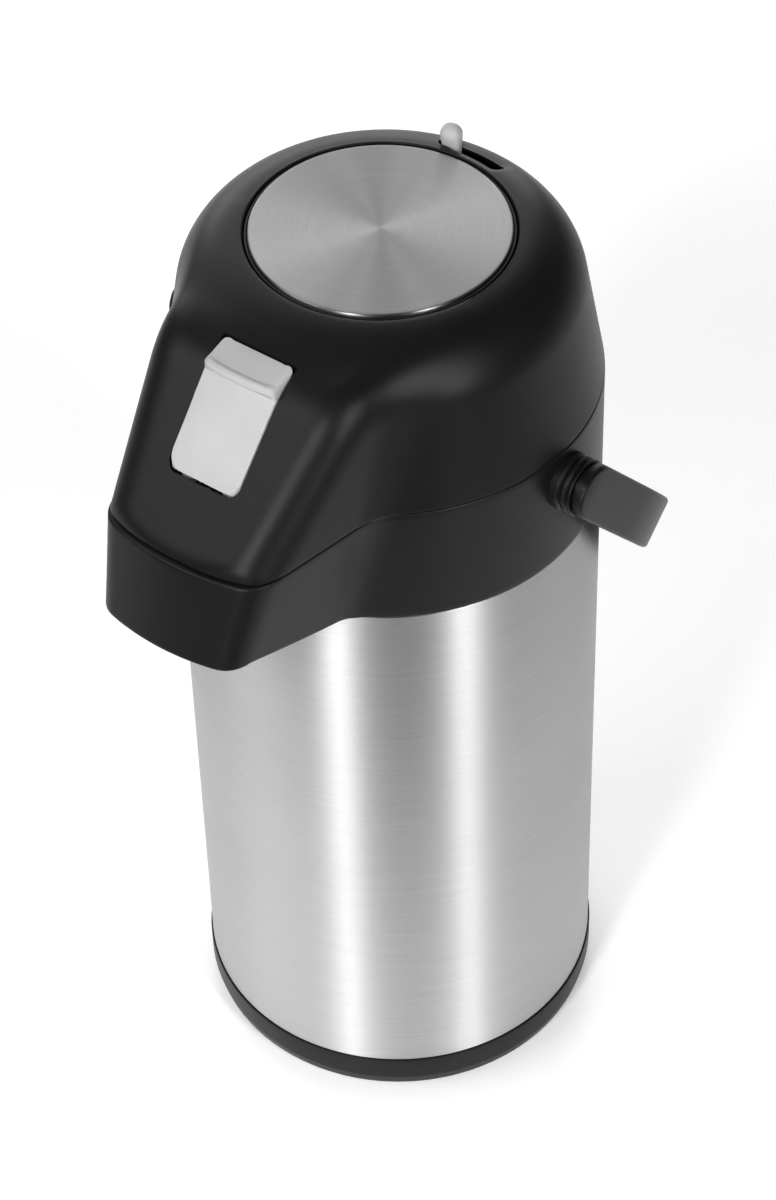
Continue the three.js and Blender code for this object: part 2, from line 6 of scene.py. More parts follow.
import bmesh
import bpy
import numpy as np
from mathutils import Matrix, Vector


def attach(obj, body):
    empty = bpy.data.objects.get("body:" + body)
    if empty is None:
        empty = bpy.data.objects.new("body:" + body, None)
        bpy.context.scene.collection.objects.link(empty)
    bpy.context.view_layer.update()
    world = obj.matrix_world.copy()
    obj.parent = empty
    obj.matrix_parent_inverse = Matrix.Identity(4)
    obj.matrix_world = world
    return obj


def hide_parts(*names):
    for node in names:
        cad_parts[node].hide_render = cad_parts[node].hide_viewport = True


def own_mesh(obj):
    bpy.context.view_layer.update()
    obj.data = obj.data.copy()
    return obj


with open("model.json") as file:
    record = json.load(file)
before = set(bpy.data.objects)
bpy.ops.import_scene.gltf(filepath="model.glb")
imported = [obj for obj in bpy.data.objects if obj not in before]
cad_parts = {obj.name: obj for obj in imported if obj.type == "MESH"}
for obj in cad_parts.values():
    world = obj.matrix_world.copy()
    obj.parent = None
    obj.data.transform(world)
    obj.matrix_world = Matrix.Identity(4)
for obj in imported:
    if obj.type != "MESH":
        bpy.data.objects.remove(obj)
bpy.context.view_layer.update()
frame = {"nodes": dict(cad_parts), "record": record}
nodes = frame["nodes"]
MM = 0.001

# ---- Driving dimensions, as in the model ----
GAP = 0.3                  # between pieces that don't touch
CASING_R = 80
BASE_TOP = 17.8            # height of the seam under the casing
BASE_R = 80.7
CASING_TOP = 278.7
SEAM = 330                 # height of the seam between collar and lid
LID_FOOT = SEAM + GAP
LID_TOP = 393
SHELL_R = 80.5             # collar and lid
WALL = 2.6
SHOULDER_R = 27            # round of the dome's shoulder, with its centre in radius and height
SHOULDER_CENTRE = (47, LID_TOP - SHOULDER_R)
BUTTON_HOLE_R = 48.8
DISC_R = 47
SLOPE_TOP = (-82, 378.5)   # y and z of a point on the hood's slope
SLOPE = 1.1                # rise over run
CROWN = 387                # top of the hood, behind the slope
BEAK_ROOT = (45.2, -69)    # half-width and y where the beak leaves the body
BEAK_TIP = (33.2, -128)    # half-width and y at its front corners
BEAK_FRONT_R = 100         # the front's curve in plan
BEAK_FRONT_Y = -124.9
BEAK_PROUD = 1.4           # how far the collar's front stands out past the lid
BEAK_LEAN = 14             # how far the front leans out from the seam to the lower edge
BEAK_ROOT_DRAFT = 8.7      # how far the sides draw in over the same fall
BEAK_TIP_DRAFT = 3.5
BEAK_UNDER = ((-71.7, CASING_TOP), (-122.6, 295.5))    # y and z at the ends of the lower edge's slope
PIVOT_Z = 315
HANDLE_REST = 49           # degrees below level, behind the pot
HANDLE_R = 94              # half the handle's width, outside
HANDLE_ARM = 40            # its straight part
HANDLE_REACH = 148
HANDLE_THICK = 5
HANDLE_BAND = 21
BOSS_R = 11
PIN_R = 4

# ---- Pouring pieces ----
PLUG_R = 26.5
DIP_R = 6.2
POUR_R = 5
POUR_Z = 314
NOZZLE_Y = -110

# ---- Latch, lock and hinge ----
LATCH_PIVOT = (-100, 347.8)    # y and z
HINGE = (84.8, 333.2)
LOCK_R = 55
LOCK_REST = 8.3                # degrees, as are the next three
LOCK_TRAVEL = 19
LOCK_HALF = 3.9
LOCK_PLAY = 0.5

TURN_STEPS = 192               # sides of a turned piece

# ---- Studio ----
# Painted light: the floor glows by FLOOR_GLOW though it is no lamp, and it is painted darker ahead of the
# pot as painted shade.
FLOOR_GLOW = 0.22
FLOOR_FAR_PAINTED_SHADE = 0.15               # painted shade: the floor's darkened colour and glow past the lower edge of the picture

# ---- Camera ----
CAMERA_HEADING = 37.37     # degrees, from +Y towards -X
CAMERA_PITCH = 45.48       # degrees below level
CAMERA_ROLL = -1.72
CAMERA_AT = (0.5905, -0.7752, 1.1973)
CAMERA_LENS = 107.06


def add_camera():
    data = bpy.data.cameras.new("camera")
    data.lens = CAMERA_LENS
    data.sensor_width = 36
    camera = bpy.data.objects.new("camera", data)
    bpy.context.scene.collection.objects.link(camera)
    camera.matrix_world = (
        Matrix.Translation(CAMERA_AT)
        @ Matrix.Rotation(math.radians(CAMERA_HEADING), 4, "Z")
        @ Matrix.Rotation(math.radians(90 - CAMERA_PITCH), 4, "X")
        @ Matrix.Rotation(math.radians(CAMERA_ROLL), 4, "Z")
    )
    bpy.context.scene.camera = camera


# ---- Mesh helpers ----
def make_object(name, verts, faces, material, body, stands_for, sharp=40):
    """A piece from vertices in millimetres, with its material, its body and the nodes it stands for."""
    mesh = bpy.data.meshes.new(name)
    mesh.from_pydata([tuple(float(c) * MM for c in v) for v in verts], [], faces)
    mesh.validate()
    piece = bpy.data.objects.new(name, mesh)
    bpy.context.scene.collection.objects.link(piece)
    tidy_mesh(mesh, sharp)
    mesh.materials.append(material)
    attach(piece, body)
    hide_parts(*stands_for)
    return piece


def slot_of(node):
    return next(s["material_slot"] for s in frame["record"]["subparts"] if s["node"] == node)


def tidy_mesh(mesh, sharp):
    """Merges doubles, points faces out, and shades smooth but for edges over the sharp angle."""
    work = bmesh.new()
    work.from_mesh(mesh)
    bmesh.ops.remove_doubles(work, verts=work.verts, dist=1e-6)
    bmesh.ops.dissolve_degenerate(work, edges=work.edges, dist=1e-7)
    bmesh.ops.recalc_face_normals(work, faces=work.faces)
    for face in work.faces:
        face.smooth = True
    for edge in work.edges:
        edge.smooth = not (len(edge.link_faces) == 2 and edge.calc_face_angle(0) > math.radians(sharp))
    work.to_mesh(mesh)
    work.free()
    mesh.update()


def loop_skin(loops, close_ends=False):
    """Skins closed loops of points into one surface. Without ends, the last loop joins the first."""
    count = len(loops[0])
    verts = [tuple(p) for loop in loops for p in loop]
    faces = []
    spans = len(loops) - 1 if close_ends else len(loops)
    for i in range(spans):
        after = (i + 1) % len(loops)
        for j in range(count):
            up = (j + 1) % count
            faces.append((i * count + j, after * count + j, after * count + up, i * count + up))
    if close_ends:
        faces.append(tuple(range(count)))
        faces.append(tuple(range((len(loops) - 1) * count, len(loops) * count)))
    return verts, faces


def fillet(outline, radius, steps=5):
    """A closed outline with each corner rounded. A corner may carry its own radius as a third value."""
    result = []
    count = len(outline)
    for i in range(count):
        here = np.array(outline[i][:2], float)
        before = np.array(outline[i - 1][:2], float) - here
        after = np.array(outline[(i + 1) % count][:2], float) - here
        r = outline[i][2] if len(outline[i]) > 2 else radius
        lengths = np.linalg.norm(before), np.linalg.norm(after)
        before, after = before / lengths[0], after / lengths[1]
        half = math.acos(np.clip(before @ after, -1, 1)) / 2
        reach = min(r / max(math.tan(half), 1e-6), 0.49 * min(lengths))
        if r <= 0 or half > 1.54 or here[0] <= 0:
            result.append(tuple(here))
            continue
        start, end = here + before * reach, here + after * reach
        for k in range(steps + 1):
            t = k / steps
            point = (1 - t) ** 2 * start + 2 * t * (1 - t) * here + t * t * end
            result.append(tuple(point))
    return result


def turned(outline, radius=0.4, steps=TURN_STEPS, fillet_steps=4):
    """A piece turned about Z from a closed outline of radius and height."""
    points = fillet(outline, radius, fillet_steps) if radius else [p[:2] for p in outline]
    loops = []
    for i in range(steps):
        angle = 2 * math.pi * i / steps
        loops.append([(r * math.sin(angle), -r * math.cos(angle), z) for r, z in points])
    return loop_skin(loops)


def placed(shape, matrix):
    verts, faces = shape
    return [tuple(matrix @ Vector(v)) for v in verts], faces


def joined(*shapes):
    verts, faces = [], []
    for more_verts, more_faces in shapes:
        start = len(verts)
        verts += more_verts
        faces += [tuple(i + start for i in face) for face in more_faces]
    return verts, faces


def side_prism(outline, x0, x1):
    """A prism along X from an outline in Y and Z."""
    loops = [[(x, y, z) for y, z in outline] for x in (x0, x1)]
    return loop_skin(loops, close_ends=True)


def flat_prism(outline, z0, z1):
    loops = [[(x, y, z) for x, y in outline] for z in (z0, z1)]
    return loop_skin(loops, close_ends=True)


def arc(cx, cy, r, start, end, steps):
    angles = [math.radians(start + (end - start) * i / steps) for i in range(steps + 1)]
    return [(cx + r * math.cos(a), cy + r * math.sin(a)) for a in angles]


def cut(piece, shape, operation="DIFFERENCE"):
    """Cuts a shape out of a piece, or joins it on, and applies the result."""
    tool = bare_object(shape)
    modifier = piece.modifiers.new("cut", "BOOLEAN")
    modifier.object = tool
    modifier.operation = operation
    modifier.solver = "EXACT"
    apply_modifiers(piece)
    bpy.data.objects.remove(tool)


def apply_modifiers(piece, sharp=40):
    graph = bpy.context.evaluated_depsgraph_get()
    result = bpy.data.meshes.new_from_object(piece.evaluated_get(graph))
    piece.modifiers.clear()
    piece.data = result
    tidy_mesh(result, sharp)


# ---- Materials ----
class Nodes:
    """A short way to wire a node material."""

    def __init__(self, name):
        self.material = bpy.data.materials.new(name)
        self.material.use_nodes = True
        self.tree = self.material.node_tree
        self.shader = self.tree.nodes["Principled BSDF"]

    def add(self, kind, inputs=(), **settings):
        node = self.tree.nodes.new(kind)
        for key, value in settings.items():
            setattr(node, key, value)
        for socket, value in dict(inputs).items():
            self.feed(node, socket, value)
        return node

    def feed(self, node, socket, value):
        if hasattr(value, "is_output"):
            self.tree.links.new(value, node.inputs[socket])
        else:
            node.inputs[socket].default_value = value

    def set(self, **inputs):
        for socket, value in inputs.items():
            self.feed(self.shader, socket.replace("_", " "), value)

    def place(self):
        return self.add("ShaderNodeTexCoord").outputs["Object"]

    def noise(self, vector, scale, detail=3, roughness=0.5):
        inputs = {"Vector": vector, "Scale": scale, "Detail": detail, "Roughness": roughness}
        return self.add("ShaderNodeTexNoise", inputs).outputs["Fac"]

    def spread(self, value, low, high):
        """The value's middle range stretched to run from low to high."""
        inputs = {"Value": value, "From Min": 0.3, "From Max": 0.7, "To Min": low, "To Max": high}
        return self.add("ShaderNodeMapRange", inputs).outputs["Result"]

    def bump(self, height, strength, distance):
        inputs = {"Height": height, "Strength": strength, "Distance": distance}
        return self.add("ShaderNodeBump", inputs).outputs["Normal"]

    def grey(self, value):
        inputs = {"Red": value, "Green": value, "Blue": value}
        return self.add("ShaderNodeCombineColor", inputs).outputs["Color"]


def moulded_plastic(name, tone, roughness, grain=0.25, depth=0.02, gloss=0.2):
    """Satin plastic with a fine spark-eroded grain and slow changes of gloss. grain and depth are in mm."""
    n = Nodes(name)
    place = n.place()
    fine = n.noise(place, 1 / (grain * MM), 2)
    slow = n.noise(place, 18, 3)
    n.set(
        Base_Color=n.grey(n.spread(slow, tone * 0.9, tone * 1.12)),
        Roughness=n.spread(slow, roughness * 0.94, roughness * 1.07),
        Normal=n.bump(fine, 0.5, depth * MM),
        Specular_IOR_Level=gloss,
    )
    return n.material


def brushed_steel(name, tone, roughness, circles=False):
    """Steel brushed along rings about Z: round a wall, or in circles on a flat face."""
    n = Nodes(name)
    place = n.place()
    split = n.add("ShaderNodeSeparateXYZ", {"Vector": place}).outputs
    flat = n.add("ShaderNodeCombineXYZ", {"X": split["X"], "Y": split["Y"]}).outputs[0]
    from_axis = n.add("ShaderNodeVectorMath", {0: flat}, operation="LENGTH").outputs["Value"]
    across = from_axis if circles else split["Z"]
    tight = n.add("ShaderNodeMath", {0: across, 1: 5200}, operation="MULTIPLY").outputs[0]
    loose = n.add("ShaderNodeVectorMath", {0: flat, "Scale": 26}, operation="SCALE").outputs[0]
    loose_split = n.add("ShaderNodeSeparateXYZ", {"Vector": loose}).outputs
    stretched_parts = {"X": loose_split["X"], "Y": loose_split["Y"], "Z": tight}
    stretched = n.add("ShaderNodeCombineXYZ", stretched_parts).outputs[0]
    scratches = n.noise(stretched, 1, 4, 0.7)
    slow = n.noise(place, 9, 2)
    n.set(
        Base_Color=n.grey(n.spread(scratches, tone * 0.86, tone * 1.08)),
        Metallic=1.0,
        Roughness=n.spread(slow, roughness * 0.95, roughness * 1.06),
        Anisotropic=0.9,
        Anisotropic_Rotation=0.25,
        Normal=n.bump(scratches, 0.35, 0.012 * MM),
        Tangent=n.add("ShaderNodeTangent", direction_type="RADIAL", axis="Z").outputs[0],
    )
    return n.material


def plain_metal(name, tone, roughness):
    n = Nodes(name)
    fine = n.noise(n.place(), 2500, 2)
    n.set(
        Base_Color=n.grey(n.spread(fine, tone * 0.95, tone)),
        Metallic=1.0,
        Roughness=n.spread(fine, roughness * 0.9, roughness * 1.1),
    )
    return n.material


def soft_rubber(name, tone, roughness):
    n = Nodes(name)
    fine = n.noise(n.place(), 3000, 3)
    n.set(
        Base_Color=n.grey(n.spread(fine, tone * 0.9, tone * 1.1)),
        Roughness=roughness,
        Normal=n.bump(fine, 0.4, 0.02 * MM),
    )
    return n.material


BLACK = moulded_plastic("black_plastic", 0.006, 0.4)
INNER = moulded_plastic("inner_plastic", 0.016, 0.5, grain=0.4)
PALE_GREY = moulded_plastic("pale_grey_plastic", 0.5, 0.38, grain=0.2, depth=0.008)
CASING = brushed_steel("casing_steel", 0.6, 0.42)
# Painted shade: the push disc's steel is set far darker than the casing's steel to tone down the light on
# its upward face.
SHADED_DISC_STEEL = brushed_steel("disc_steel", 0.27, 0.36, circles=True)
PIN = plain_metal("pin_steel", 0.6, 0.25)
LINER = plain_metal("liner_steel", 0.7, 0.22)
RUBBER = soft_rubber("black_rubber", 0.02, 0.8)
SILICONE = soft_rubber("silicone", 0.62, 0.55)
CLEAR = moulded_plastic("clear_plastic", 0.72, 0.35, depth=0.004)
MATERIALS = {
    "black_plastic": BLACK, "inner_plastic": INNER, "pale_grey_plastic": PALE_GREY, "casing_steel": CASING,
    "disc_steel": SHADED_DISC_STEEL, "pin_steel": PIN, "liner_steel": LINER, "black_rubber": RUBBER, "silicone": SILICONE,
    "clear_plastic": CLEAR,
}


def finish_nodes():
    """Gives every model piece that stays its slot's material."""
    for name, node in nodes.items():
        node.data.materials.clear()
        node.data.materials.append(MATERIALS[slot_of(name)])


# ---- The moulded outer form: a dome with a hood and a beak ----
# Each field is negative inside the form and about a distance in millimetres near its surface.
def soft_max(a, b, blend):
    h = np.maximum(blend - np.abs(a - b), 0) / blend
    return np.maximum(a, b) + h * h * blend / 4


def soft_min(a, b, blend):
    return -soft_max(-a, -b, blend)


def dome_field(x, y, z):
    cr, cz = SHOULDER_CENTRE
    r = np.hypot(x, y)
    reach = math.hypot(SHELL_R - cr, cz - SEAM)
    lean = math.acos(SHOULDER_R / reach) - math.atan2(cz - SEAM, SHELL_R - cr)
    wall = (r - SHELL_R) * math.cos(lean) + (z - SEAM) * math.sin(lean)
    shoulder = np.hypot(r - cr, z - cz) - SHOULDER_R
    on_shoulder = np.arctan2(z - cz, r - cr) > lean
    return np.where(r < cr, z - LID_TOP, np.where(on_shoulder, shoulder, wall))


def beak_plan(x, y, fall, proud):
    """The beak's side and front in plan. fall is 0 at the seam and 1 at the collar's lower edge."""
    root = BEAK_ROOT[0] - BEAK_ROOT_DRAFT * fall
    tip = BEAK_TIP[0] - BEAK_TIP_DRAFT * fall
    run = BEAK_ROOT[1] - BEAK_TIP[1]
    length = np.hypot(root - tip, run)
    side = ((np.abs(x) - root) * run - (y - BEAK_ROOT[1]) * (root - tip)) / length
    centre = BEAK_FRONT_Y + BEAK_FRONT_R - BEAK_LEAN * fall - proud
    front = np.hypot(x, y - centre) - BEAK_FRONT_R
    return side, front


def lid_field(x, y, z):
    slope = (z - SLOPE_TOP[1] - SLOPE * (y - SLOPE_TOP[0])) / math.hypot(1, SLOPE)
    top = soft_max(slope, z - CROWN, 10)
    side, front = beak_plan(x, y, 0, 0)
    hood = soft_max(soft_max(side, top, 15), front, 2.5)
    behind = soft_max(hood, y + 20, 4)
    return soft_min(dome_field(x, y, z), behind, 8)


def collar_field(x, y, z):
    fall = (SEAM - z) / (SEAM - CASING_TOP)
    side, front = beak_plan(x, y, fall, BEAK_PROUD)
    beak = soft_max(soft_max(side, front, 7.5), y + 20, 4)
    return soft_min(np.hypot(x, y) - SHELL_R, beak, 6)


def cast(field, directions, starts, level):
    """Where rays from points on the axis leave the form, grown by level."""
    near = np.full(len(directions), 20.0)
    far = np.full(len(directions), 170.0)
    for _ in range(44):
        middle = (near + far) / 2
        x, y, z = (directions * middle[:, None]).T
        inside = field(x, y, z + starts) < level
        near = np.where(inside, middle, near)
        far = np.where(inside, far, middle)
    points = directions * near[:, None]
    points[:, 2] += starts
    return points


def beak_angles(front, rear):
    """Directions round the axis, closer together over the beak."""
    ahead = np.linspace(-45, 45, front, endpoint=False)
    behind = np.linspace(45, 315, rear, endpoint=False)
    return np.radians(np.concatenate([ahead, behind]))


ANGLES = beak_angles(150, 230)
FLAT = np.stack([np.sin(ANGLES), -np.cos(ANGLES), np.zeros(len(ANGLES))], 1)


def lid_row(rise, level):
    directions = FLAT * math.cos(rise) + np.array([0, 0, math.sin(rise)])
    return cast(lid_field, directions, LID_FOOT, level)


def ring_row(r, z):
    return FLAT * r + np.array([0, 0, z])


def on_slope(down, out):
    """A point in Y and Z on the hood's slope, down it from its top and out of it."""
    length = math.hypot(1, SLOPE)
    y = SLOPE_TOP[0] - down / length - out * SLOPE / length
    z = SLOPE_TOP[1] - down * SLOPE / length + out / length
    return y, z


def latch_plan(top_half, half, corner, lowest):
    """A tongue with rounded lower corners. The corner's radius is measured along the slope."""
    squash = 1 / math.hypot(1, SLOPE)
    side = half - corner
    left = [(x - side, lowest + squash * (corner + y)) for x, y in arc(0, 0, corner, 180, 270, 12)]
    right = [(x + side, lowest + squash * (corner + y)) for x, y in arc(0, 0, corner, 270, 360, 12)]
    return [(-top_half, -60), *left, *right, (top_half, -60)]


def lock_slot(z0, z1):
    """The lock's slot: an arc round the axis with round ends."""
    half = 2.8
    start = 90 + LOCK_REST - LOCK_TRAVEL - LOCK_HALF - LOCK_PLAY + 2
    end = 90 + LOCK_REST + LOCK_HALF + LOCK_PLAY - 2
    outer = arc(0, 0, LOCK_R + half, start, end, 24)
    inner = arc(0, 0, LOCK_R - half, end, start, 24)
    ends = [(LOCK_R * math.cos(math.radians(a)), LOCK_R * math.sin(math.radians(a))) for a in (end, start)]
    cap_end = arc(*ends[0], half, end, end + 180, 10)[1:-1]
    cap_start = arc(*ends[1], half, start + 180, start + 360, 10)[1:-1]
    return flat_prism([*outer, *cap_end, *inner, *cap_start], z0, z1)


def scooped(points):
    """Sinks a shallow finger scoop into the dome's top, round the lock's slot."""
    inner, outer, depth = 50.2, 63, 1.5
    x, y, z = points.T
    r = np.hypot(x, y)
    across = np.clip((r - inner) / 3.2, 0, 1)
    beyond = np.clip((outer - r) / 5, 0, 1)
    turn = np.degrees(np.arctan2(x, y))
    along = np.clip((turn + 9) / 4, 0, 1) * np.clip((17 - turn) / 5, 0, 1)
    ease = across * across * (3 - 2 * across) * beyond * along * along * (3 - 2 * along)
    points[:, 2] = np.where((y > 0) & (z > 380) & (r > inner), z - depth * ease, z)
    return points


def add_lid():
    edge = 0.6
    rim = 0.9
    top = math.atan2(LID_TOP - LID_FOOT, BUTTON_HOLE_R + rim)
    inner_top = math.atan2(LID_TOP - WALL - LID_FOOT, BUTTON_HOLE_R)
    rows = []
    for k in range(5):
        turn = math.radians(22.5 * k)
        rows.append(lid_row(edge * (1 - math.cos(turn)) / 95, -edge * (1 - math.sin(turn))))
    rows += [scooped(lid_row(top * (0.02 + 0.98 * j / 70), 0)) for j in range(71)]
    for k in range(1, 5):
        turn = math.radians(22.5 * k)
        radius = BUTTON_HOLE_R + rim * (1 - math.sin(turn))
        rows.append(ring_row(radius, LID_TOP - rim * (1 - math.cos(turn))))
    rows += [lid_row(inner_top * j / 16, -WALL) for j in range(16, -1, -1)]
    lid = make_object("lid_skin", *loop_skin(np.stack(rows, 1)), BLACK, "lid", ["lid_shell"])
    window_side = [on_slope(-6, 8), on_slope(36.5, 8), on_slope(36.5, -8), on_slope(-6, -8)]
    cut(lid, both(side_prism(window_side, -17, 17), flat_prism(latch_plan(16.2, 15.4, 6.4, -107), 330, 400)))
    cut(lid, side_prism([(-85.5, 395), on_slope(4.5, -8), (-69.3, 375), (-69.3, 395)], -15.9, 15.9))
    cut(lid, lock_slot(380, 400))


def both(one, other):
    """The space that two shapes share."""
    piece = bare_object(one)
    cut(piece, other, "INTERSECT")
    verts = [tuple(v.co / MM) for v in piece.data.vertices]
    faces = [tuple(f.vertices) for f in piece.data.polygons]
    bpy.data.objects.remove(piece)
    return verts, faces


def bare_object(shape):
    """A shape as an object of its own, with no material or body yet."""
    mesh = bpy.data.meshes.new("shape")
    mesh.from_pydata([tuple(c * MM for c in v) for v in shape[0]], [], shape[1])
    tidy_mesh(mesh, 40)
    piece = bpy.data.objects.new("shape", mesh)
    bpy.context.scene.collection.objects.link(piece)
    return piece


def collar_bottom(level):
    """Heights of the collar's lower edge: level round the body, and rising out to the beak's tip."""
    (root_y, root_z), (tip_y, tip_z) = BEAK_UNDER
    z = np.full(len(ANGLES), float(CASING_TOP))
    for _ in range(8):
        y = cast(collar_field, FLAT, z, level)[:, 1]
        z = root_z + (tip_z - root_z) * np.clip((root_y - y) / (root_y - tip_y), 0, 1)
    return z


def add_collar():
    edge = 0.9
    low = collar_bottom(0)
    low_inside = collar_bottom(-WALL)
    rows = []
    for k in range(3, -1, -1):
        turn = math.radians(22.5 * k)
        height = low + edge * (1 - math.sin(turn))
        rows.append(cast(collar_field, FLAT, height, -edge * (1 - math.cos(turn))))
    for j in range(25):
        rows.append(cast(collar_field, FLAT, low + edge + (SEAM - 2 * edge - low) * j / 24, 0))
    for k in range(1, 5):
        turn = math.radians(22.5 * k)
        height = SEAM - edge * (1 - math.sin(turn))
        rows.append(cast(collar_field, FLAT, height, -edge * (1 - math.cos(turn))))
    for j in range(9):
        rows.append(cast(collar_field, FLAT, SEAM + (low_inside - SEAM) * j / 8, -WALL))
    make_object("collar_skin", *loop_skin(np.stack(rows, 1)), BLACK, "base", ["collar"])


# ---- Turned outer pieces ----
def add_turned_pieces():
    foot = BASE_TOP + GAP
    top = CASING_TOP - GAP
    casing = [(79.2, foot), (CASING_R, foot), (CASING_R, top), (79.2, top)]
    band = [
        (56, 5.3), (74.4, 5.3), (74.4, 0.4), (78.2, 0.4, 0.8), (79.6, 2.6, 2), (BASE_R, 7, 3),
        (BASE_R, BASE_TOP, 0.7), (78.8, BASE_TOP, 0), (78.8, 25), (76.6, 25), (76.6, 8), (56, 8),
    ]
    disc = [(0, 391.8), (DISC_R, 391.8, 0.2), (DISC_R, 393.4, 0.8), (DISC_R - 1.6, 393.4, 0), (0, 393.4)]
    make_object("casing", *turned(casing, 0.25, 256), CASING, "base", ["body_shell"])
    make_object("base_band", *turned(band, 0.4, 256), BLACK, "base", ["base_ring"])
    make_object("push_disc", *turned(disc, 0.3, 256), SHADED_DISC_STEEL, "button", ["button_disc"])
    rim = DISC_R + 1.3
    cup = [
        (0, 389.4), (45.8, 389.4), (45.8, 362), (rim, 362), (rim, 392.4, 0.5), (DISC_R + 0.4, 392.4, 0.2),
        (DISC_R + 0.4, 391.5), (0, 391.5),
    ]
    make_object("button_cup", *turned(cup, 0.3), BLACK, "button", ["pump_button"])


# ---- Handle and its pivots ----
def rounded_section(half_u, half_v, radius, steps=4):
    """A rounded rectangle as pairs of u and v."""
    radius = min(radius, half_u * 0.98, half_v * 0.98)
    points = []
    for i, (su, sv) in enumerate([(1, 1), (-1, 1), (-1, -1), (1, -1)]):
        centre = (su * (half_u - radius), sv * (half_v - radius))
        points += arc(*centre, radius, 90 * i, 90 * i + 90, steps)
    return points


def bail_stations():
    """Along the bail from one eye to the other: place, outward direction and half the band's width."""
    half = HANDLE_BAND / 2
    thick = HANDLE_THICK / 2
    middle = HANDLE_R - thick
    deep = HANDLE_REACH - thick - HANDLE_ARM
    stations = []
    for i in range(1, 13):
        t = math.radians(90 * i / 12)
        stations.append(((middle, -half * math.cos(t)), (1, 0), half * math.sin(t)))
    for i in range(1, 9):
        stations.append(((middle, HANDLE_ARM * i / 9), (1, 0), half))
    for i in range(91):
        t = math.pi * i / 90
        out = Vector((deep * math.cos(t), middle * math.sin(t))).normalized()
        stations.append(((middle * math.cos(t), HANDLE_ARM + deep * math.sin(t)), tuple(out), half))
    mirrored = [((-x, y), (-ox, oy), h) for (x, y), (ox, oy), h in reversed(stations[:20])]
    return stations + mirrored


def add_handle():
    loops = []
    for (x, y), (ox, oy), half in bail_stations():
        section = rounded_section(HANDLE_THICK / 2, half, 1.7)
        loops.append([(x + ox * u, y + oy * u, v) for u, v in section])
    shape = loop_skin(loops, close_ends=True)
    turn = Matrix.Translation((0, 0, PIVOT_Z)) @ Matrix.Rotation(-math.radians(HANDLE_REST), 4, "X")
    handle = make_object("bail_handle", *placed(shape, turn), BLACK, "handle", ["handle"])
    eye = HANDLE_R - 1.4
    bore = PIN_R + GAP
    cut(handle, placed(turned([(0, -eye), (bore, -eye), (bore, eye), (0, eye)], 0, 48), sideways(1)))


def sideways(side):
    """Turns a piece made along Z to lie along X at the handle's pivot."""
    return Matrix.Translation((0, 0, PIVOT_Z)) @ Matrix.Rotation(side * math.pi / 2, 4, "Y")


def add_boss(side, label):
    bore = PIN_R + GAP
    groove = BOSS_R - 1.3
    outline = [
        (bore, 77), (BOSS_R, 77, 0), (BOSS_R, 83.2, 0.9), (groove, 84, 0.4), (BOSS_R, 84.8, 0.9),
        (BOSS_R, 86.2, 0.9), (groove, 87, 0.4), (BOSS_R, 87.8, 0.6), (BOSS_R, 88.7, 0.5), (bore, 88.7),
    ]
    boss = make_object(f"boss_{label}", *placed(turned(outline, 0.3, 96), sideways(side)), BLACK, "base",
                       [f"pivot_boss_{label}"])
    cut(boss, turned([(0, 250), (SHELL_R + 0.05, 250), (SHELL_R + 0.05, 360), (0, 360)], 0, 256))


# ---- Pieces seen with the lid open, from the rear or from below ----
def add_inner_rings():
    deck = [(36, 300, 0.5), (75.2, 300), (75.2, 268), (77.2, 268, 0.8), (77.2, 303, 1.2), (36, 303, 1.2)]
    seal = [(23, 324.4), (32, 324.4), (33, 326), (33, 330.2), (23, 330.2)]
    gasket = [(28, 297.3), (34, 297.3), (34, 299.7), (28, 299.7)]
    foot = [(0, 0), (60, 0, 0.8), (60, 2, 0.3), (0, 2)]
    track = [(48.9, 383.2), (57, 383.2), (57, 386), (48.9, 386)]
    make_object("deck", *turned(deck, 0.4), INNER, "base", ["shoulder_deck"])
    make_object("seal_ring", *turned(seal, 0.9), SILICONE, "lid", ["lid_seal"])
    make_object("neck_ring", *turned(gasket, 0.6), SILICONE, "base", ["neck_gasket"])
    make_object("foot", *turned(foot, 0), RUBBER, "base", ["foot_pad"])
    make_object("lock_track", *turned(track, 0.5), INNER, "lock", ["lock_ring"])


def add_bellows_and_spring():
    """The two pieces that the button squashes, each built with its foot where it stands on the lid's plate.
    """
    foot = 333.8
    outside = [(40 if i % 2 else 32, foot + 5.16 * i) for i in range(11)]
    inside = [(r - 1, z) for r, z in reversed(outside)]
    bellows = make_object("bellows_skin", *turned([*outside, *inside], 0.8), RUBBER, "lid", ["bellows"])
    loops = []
    turns, steps = 5, 240
    for i in range(steps + 1):
        angle = 2 * math.pi * turns * i / steps
        height = 335 + 49 * i / steps
        ring = arc(19, 0, 1.1, 0, 330, 11)
        loops.append([(r * math.cos(angle), r * math.sin(angle), height + up) for r, up in ring])
    spring = make_object("coil", *loop_skin(loops, close_ends=True), PIN, "lid", ["return_spring"])
    for piece in (bellows, spring):
        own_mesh(piece)


def add_stopper():
    plug = make_object("plug", *turned([
        (0, 272), (PLUG_R - 1, 272, 0.6), (PLUG_R, 276), (PLUG_R, 303.3, 0.1), (44, 303.3, 0.6),
        (44, 307, 1.4), (34, 308, 1.2), (34, 324, 2), (0, 324)], 0.3), INNER, "base", ["stopper"])
    bore = DIP_R + GAP
    cut(plug, turned([(0, 270), (bore, 270), (bore, POUR_Z + 5), (0, POUR_Z + 5)], 0, 64))
    outlet = turned([(0, 0), (POUR_R + GAP, 0), (POUR_R + GAP, 40), (0, 40)], 0, 48)
    cut(plug, placed(outlet, Matrix.Translation((0, 0, POUR_Z)) @ Matrix.Rotation(math.pi / 2, 4, "X")))
    air_hole = turned([(0, 270), (3, 270), (3, 326), (0, 326)], 0, 48)
    cut(plug, placed(air_hole, Matrix.Translation((0, 17, 0))))


